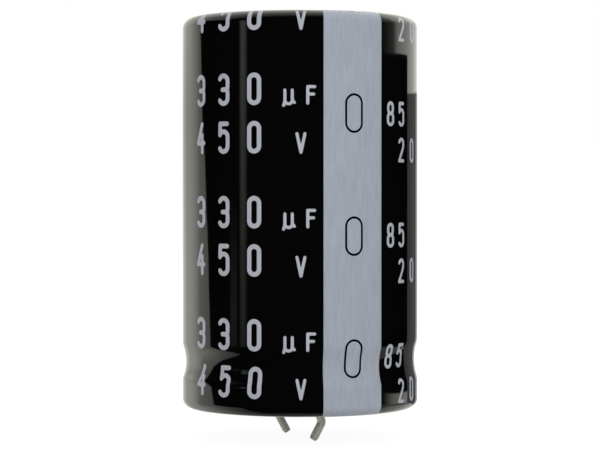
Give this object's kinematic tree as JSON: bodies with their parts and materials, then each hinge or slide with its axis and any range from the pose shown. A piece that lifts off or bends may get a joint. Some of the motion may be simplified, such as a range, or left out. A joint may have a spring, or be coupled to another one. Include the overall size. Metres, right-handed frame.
{
  "type": "electrolytic capacitor",
  "caption": "Upright aluminium electrolytic capacitor with a grooved black film sleeve, a pale polarity stripe and kinked snap-in terminals.",
  "frame": {"origin": "centre of the seat on the circuit board, midway between the terminals", "axes": "+Z along the can's axis to its closed head, -Y to the negative terminal and the polarity stripe (the front), +Y to the positive terminal; the terminals reach below the origin, through the board"},
  "size_m": [0.03, 0.03, 0.0535],
  "materials": {
    "sleeve_film": "gloss, heat-shrunk film with printed marks",
    "can_aluminium": "satin, as drawn",
    "seal_rubber": "matt",
    "laminate": "paper-filled phenolic laminate",
    "tinned_strip": "dull tin plate",
    "rivet_aluminium": "as upset, satin",
    "foil_aluminium": "dull foil",
    "wound_paper": "paper soaked with electrolyte",
    "winding_tape": "polypropylene tape"
  },
  "bodies": {
    "root": {"sleeve": "sleeve_film", "can": "can_aluminium", "seal_rubber": "seal_rubber", "deck_plate": "laminate", "negative_terminal": "tinned_strip", "positive_terminal": "tinned_strip", "negative_rivet": "rivet_aluminium", "positive_rivet": "rivet_aluminium", "negative_washer": "rivet_aluminium", "positive_washer": "rivet_aluminium", "negative_tab": "foil_aluminium", "positive_tab": "foil_aluminium", "wound_element": "wound_paper", "winding_tape": "winding_tape"}
  },
  "joints": []
}
